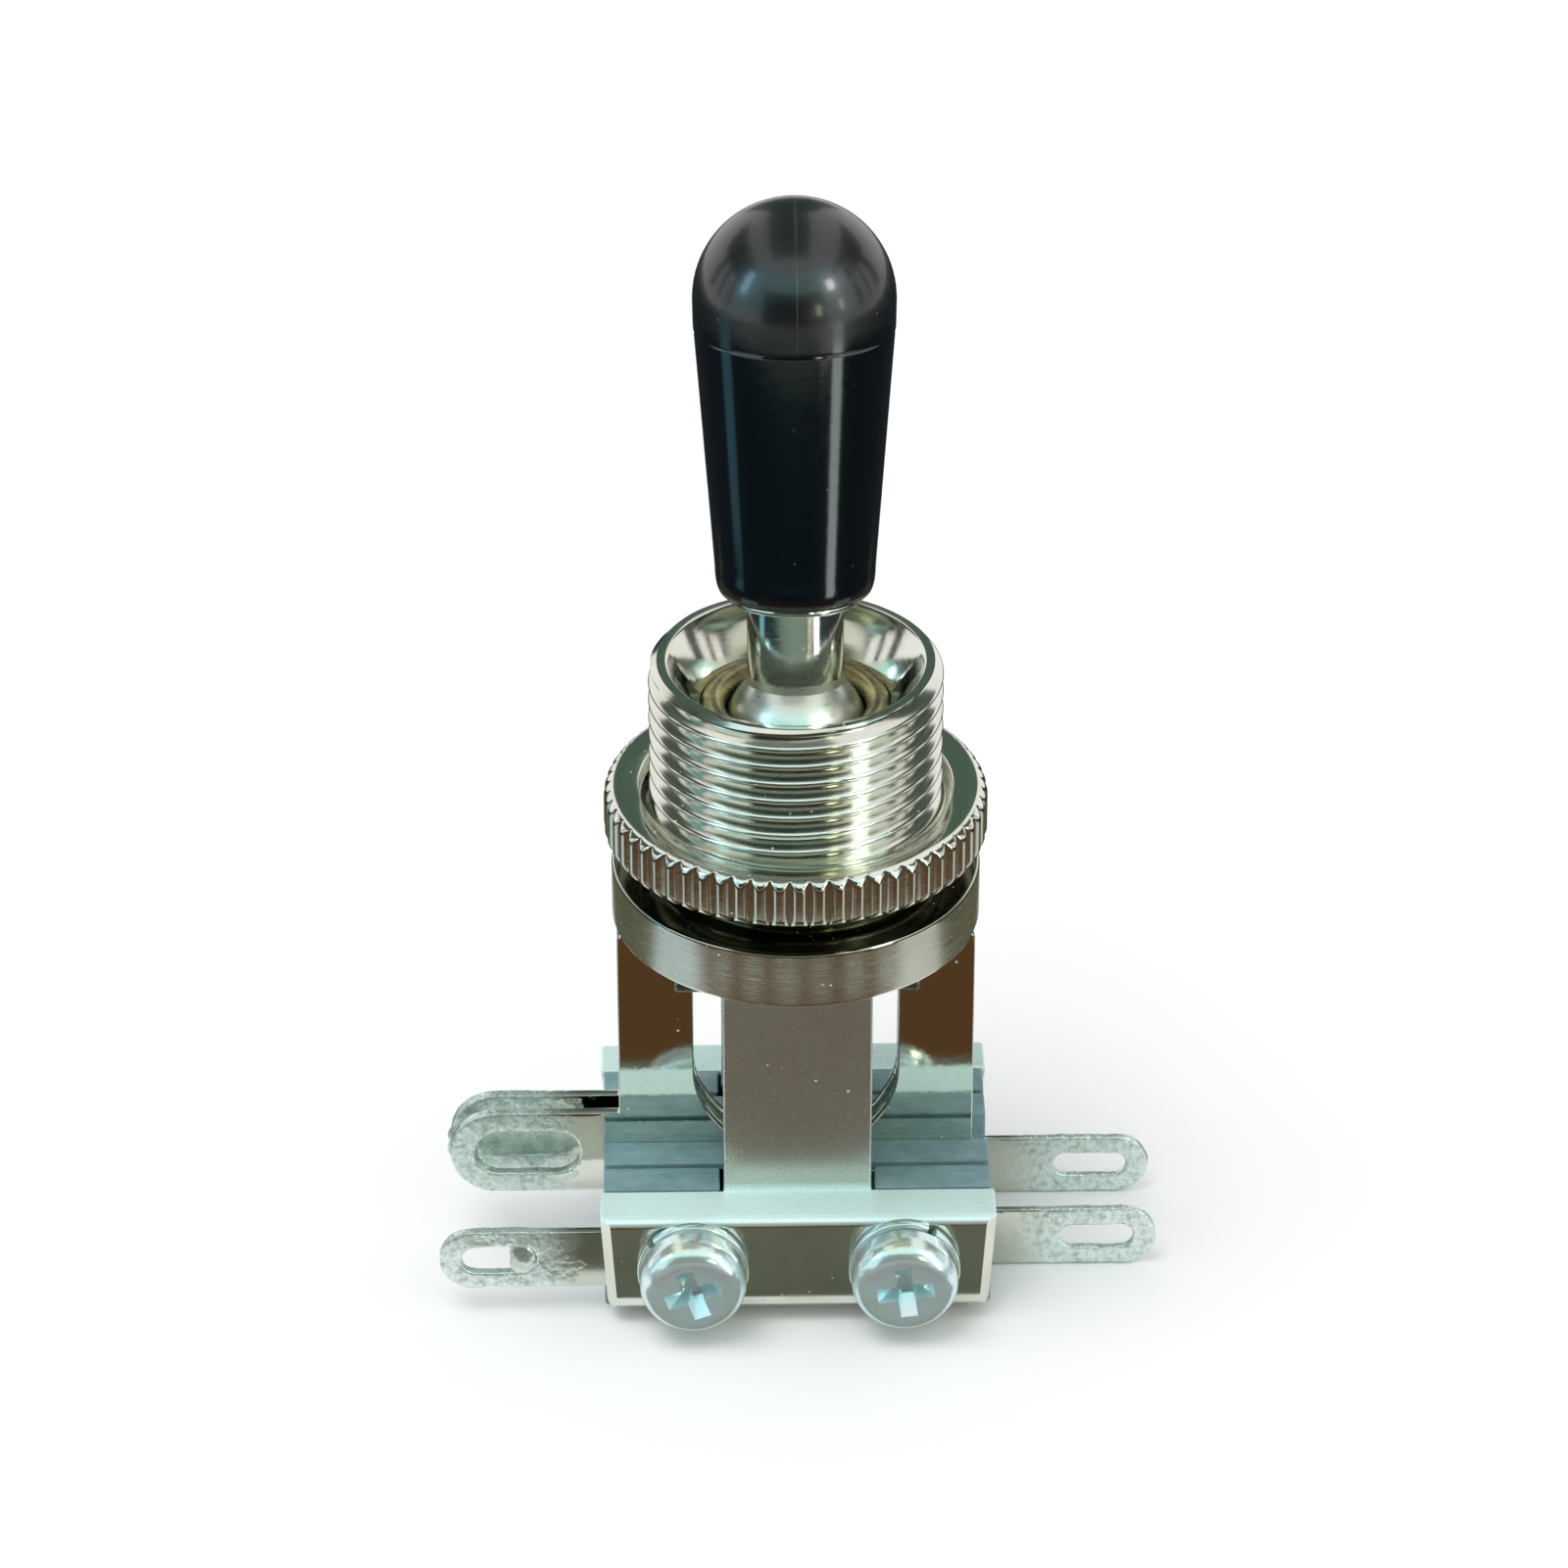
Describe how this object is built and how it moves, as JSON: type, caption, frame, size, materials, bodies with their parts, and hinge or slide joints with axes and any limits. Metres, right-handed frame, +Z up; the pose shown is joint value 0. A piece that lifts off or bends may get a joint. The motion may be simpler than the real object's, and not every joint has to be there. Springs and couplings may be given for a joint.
{
  "type": "toggle selector switch",
  "caption": "Three-way lever switch with a threaded bushing, knurled nut, folded frame, clamped contact blades and solder lugs.",
  "frame": {"origin": "under the bushing's axis, on the plane that the insulator boards stand on", "axes": "+Z up along the bushing, -Y is the front with the screw heads, +X is to the right along the stack"},
  "size_m": [0.0298, 0.0166, 0.0463],
  "materials": {
    "nickel": "bright nickel plate",
    "nickel_satin": "satin nickel on the folded frame",
    "black_plastic": "glossy black moulding",
    "lever_nickel": "turned and nickel plated",
    "ring_brass": "dull olive brass",
    "sleeve_nylon": "natural nylon",
    "fibre_board": "blue-grey laminated fibre board",
    "tinned": "solder-dipped sheet",
    "fork_nickel": "bright nickel plate on spring sheet",
    "contact_silver": "silver contact wire",
    "zinc": "blue zinc plate",
    "solder": "solder"
  },
  "bodies": {
    "switch_body": {"bushing": "nickel", "dress_nut": "nickel", "frame": "nickel_satin", "seal_ring": "ring_brass", "ground_lug": "tinned", "centre_spacer": "fork_nickel", "solder_bridge": "solder", "solder_ground": "solder", "inner_board_front": "fibre_board", "middle_board_front": "fibre_board", "outer_board_front": "fibre_board", "common_fork_front": "fork_nickel", "hot_blade_front": "tinned", "contact_bar_front": "contact_silver", "inner_board_rear": "fibre_board", "middle_board_rear": "fibre_board", "outer_board_rear": "fibre_board", "common_fork_rear": "fork_nickel", "hot_blade_rear": "tinned", "contact_bar_rear": "contact_silver", "screw_left": "zinc", "lock_washer_left": "zinc", "insulating_tube_left": "sleeve_nylon", "screw_right": "zinc", "lock_washer_right": "zinc", "insulating_tube_right": "sleeve_nylon"},
    "lever": {"lever_shaft": "lever_nickel", "lever_tip": "black_plastic", "tip_ferrule": "lever_nickel", "pivot_pin": "lever_nickel", "actuator_sleeve": "sleeve_nylon"}
  },
  "joints": [
    {"name": "lever_tilt", "type": "hinge", "parent": "switch_body", "child": "lever", "pos_m": [0, 0, 0.0244], "axis": [1, 0, 0], "range_deg": [0, 22], "deforming": ["hot_blade_front", "hot_blade_rear", "contact_bar_front", "contact_bar_rear"]}
  ]
}
